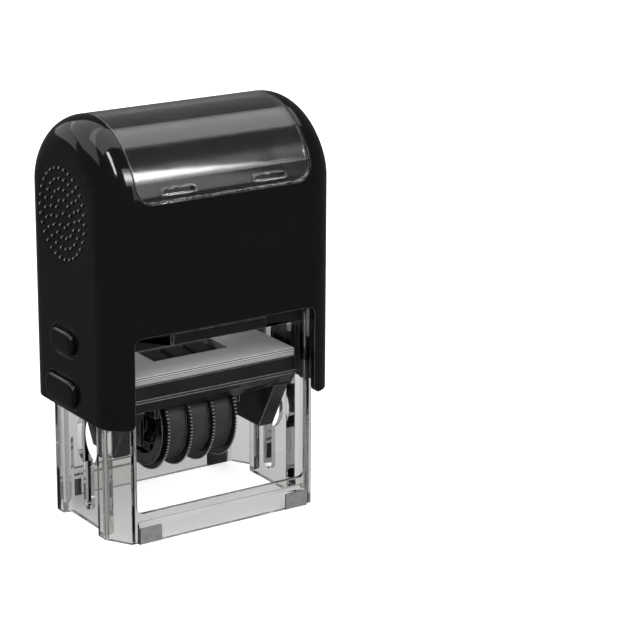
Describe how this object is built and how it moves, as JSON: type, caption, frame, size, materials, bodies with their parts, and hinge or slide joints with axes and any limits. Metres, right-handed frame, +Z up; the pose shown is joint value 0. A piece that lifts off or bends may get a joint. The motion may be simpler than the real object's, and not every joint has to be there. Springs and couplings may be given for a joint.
{
  "type": "self-inking date stamp",
  "caption": "Self-inking date stamp with a black push-down cap, a clear base frame and a die carrier that flips over, with toothed date wheels and rubber bands.",
  "frame": {"origin": "centre of the base's footprint on the table", "axes": "+Z up, along the cap's travel; +X along the stamp's width; the front with the wider view of the wheels is -Y"},
  "size_m": [0.071, 0.044, 0.1084],
  "materials": {
    "cap_plastic": "moulded gloss black",
    "clear_base": "clear moulded plastic, slightly smoky",
    "window_clear": "clear moulded window, smoke tint",
    "inner_plastic": "satin black moulding",
    "wheel_plastic": "black moulding with fine teeth",
    "band_rubber": "smooth dark grey rubber",
    "foot_rubber": "grey rubber",
    "ink_felt": "inked felt",
    "die_white": "smooth white plate",
    "die_foam": "pale cushion layer",
    "pin_steel": "plain turned steel",
    "spring_steel": "drawn spring wire"
  },
  "bodies": {
    "base": {"base_frame": "clear_base", "foot_pads": "foot_rubber", "ink_cassette": "inner_plastic", "ink_pad": "ink_felt"},
    "cap": {"cap_shell": "cap_plastic", "axle_left": "pin_steel", "axle_right": "pin_steel", "axle_clip_left": "cap_plastic", "axle_clip_right": "cap_plastic", "return_spring": "spring_steel"},
    "window": {"index_window": "window_clear"},
    "lock_left": {"lock_button_left": "cap_plastic"},
    "lock_right": {"lock_button_right": "cap_plastic"},
    "rotor": {"carrier": "inner_plastic", "die_cushion": "die_foam", "die_plate": "die_white", "band_frame": "inner_plastic", "platen": "inner_plastic", "wheel_shaft": "pin_steel", "shaft_clips": "pin_steel", "day_band": "band_rubber", "month_band": "band_rubber", "year_band": "band_rubber"},
    "day_dial": {"day_wheel": "wheel_plastic"},
    "month_dial": {"month_wheel": "wheel_plastic"},
    "year_dial": {"year_wheel": "wheel_plastic"}
  },
  "joints": [
    {"name": "press", "type": "slide", "parent": "base", "child": "cap", "axis": [0, 0, -1], "range_m": [0, 0.0306], "stiffness_N_per_m": 150, "springref_m": -0.012, "deforming": ["return_spring"]},
    {"name": "flip", "type": "hinge", "parent": "cap", "child": "rotor", "pos_m": [0, 0, 0.0366], "axis": [1, 0, 0], "range_deg": [0, 180]},
    {"name": "day_turn", "type": "hinge", "parent": "rotor", "child": "day_dial", "pos_m": [0, 0, 0.0254], "axis": [1, 0, 0], "continuous": true},
    {"name": "month_turn", "type": "hinge", "parent": "rotor", "child": "month_dial", "pos_m": [0, 0, 0.0254], "axis": [1, 0, 0], "continuous": true},
    {"name": "year_turn", "type": "hinge", "parent": "rotor", "child": "year_dial", "pos_m": [0, 0, 0.0254], "axis": [1, 0, 0], "continuous": true},
    {"name": "lock_press_left", "type": "slide", "parent": "cap", "child": "lock_left", "axis": [1, 0, 0], "range_m": [0, 0.0012], "stiffness_N_per_m": 400, "springref_m": -0.001},
    {"name": "lock_press_right", "type": "slide", "parent": "cap", "child": "lock_right", "axis": [-1, 0, 0], "range_m": [0, 0.0012], "stiffness_N_per_m": 400, "springref_m": -0.001},
    {"name": "window_lift", "type": "slide", "parent": "cap", "child": "window", "axis": [0, 0, 1], "range_m": [0, 0.02]}
  ],
  "couplings": [
    {"joint": "flip", "follows": "press", "rad_per_m": 102.67}
  ]
}
